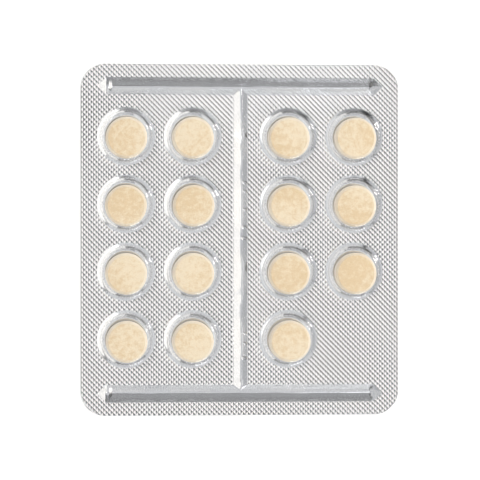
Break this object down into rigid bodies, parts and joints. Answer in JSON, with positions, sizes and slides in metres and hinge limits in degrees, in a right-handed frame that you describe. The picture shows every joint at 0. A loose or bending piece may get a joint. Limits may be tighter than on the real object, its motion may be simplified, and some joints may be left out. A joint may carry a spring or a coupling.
{
  "type": "blister pack of tablets",
  "caption": "Clear formed blister card of round tablets with stiffening ribs, sealed on an embossed aluminium foil.",
  "frame": {"origin": "middle of the foil's underside, on which the card lies", "axes": "+X along the card's short side, to the right in the picture; +Y along its long side, to the top in the picture; +Z out through the pockets"},
  "size_m": [0.0632, 0.0696, 0.0038],
  "materials": {
    "foil": "hard aluminium foil with a fine diamond seal pattern",
    "film": "clear glossy thermoformed PVC film",
    "tablet": "pressed powder, cream, matt and faintly mottled"
  },
  "bodies": {
    "root": {"lidding_foil": "foil", "formed_film": "film", "tablet_01": "tablet", "tablet_02": "tablet", "tablet_03": "tablet", "tablet_04": "tablet", "tablet_05": "tablet", "tablet_06": "tablet", "tablet_07": "tablet", "tablet_08": "tablet", "tablet_09": "tablet", "tablet_10": "tablet", "tablet_11": "tablet", "tablet_12": "tablet", "tablet_13": "tablet", "tablet_14": "tablet", "tablet_15": "tablet"}
  },
  "joints": []
}
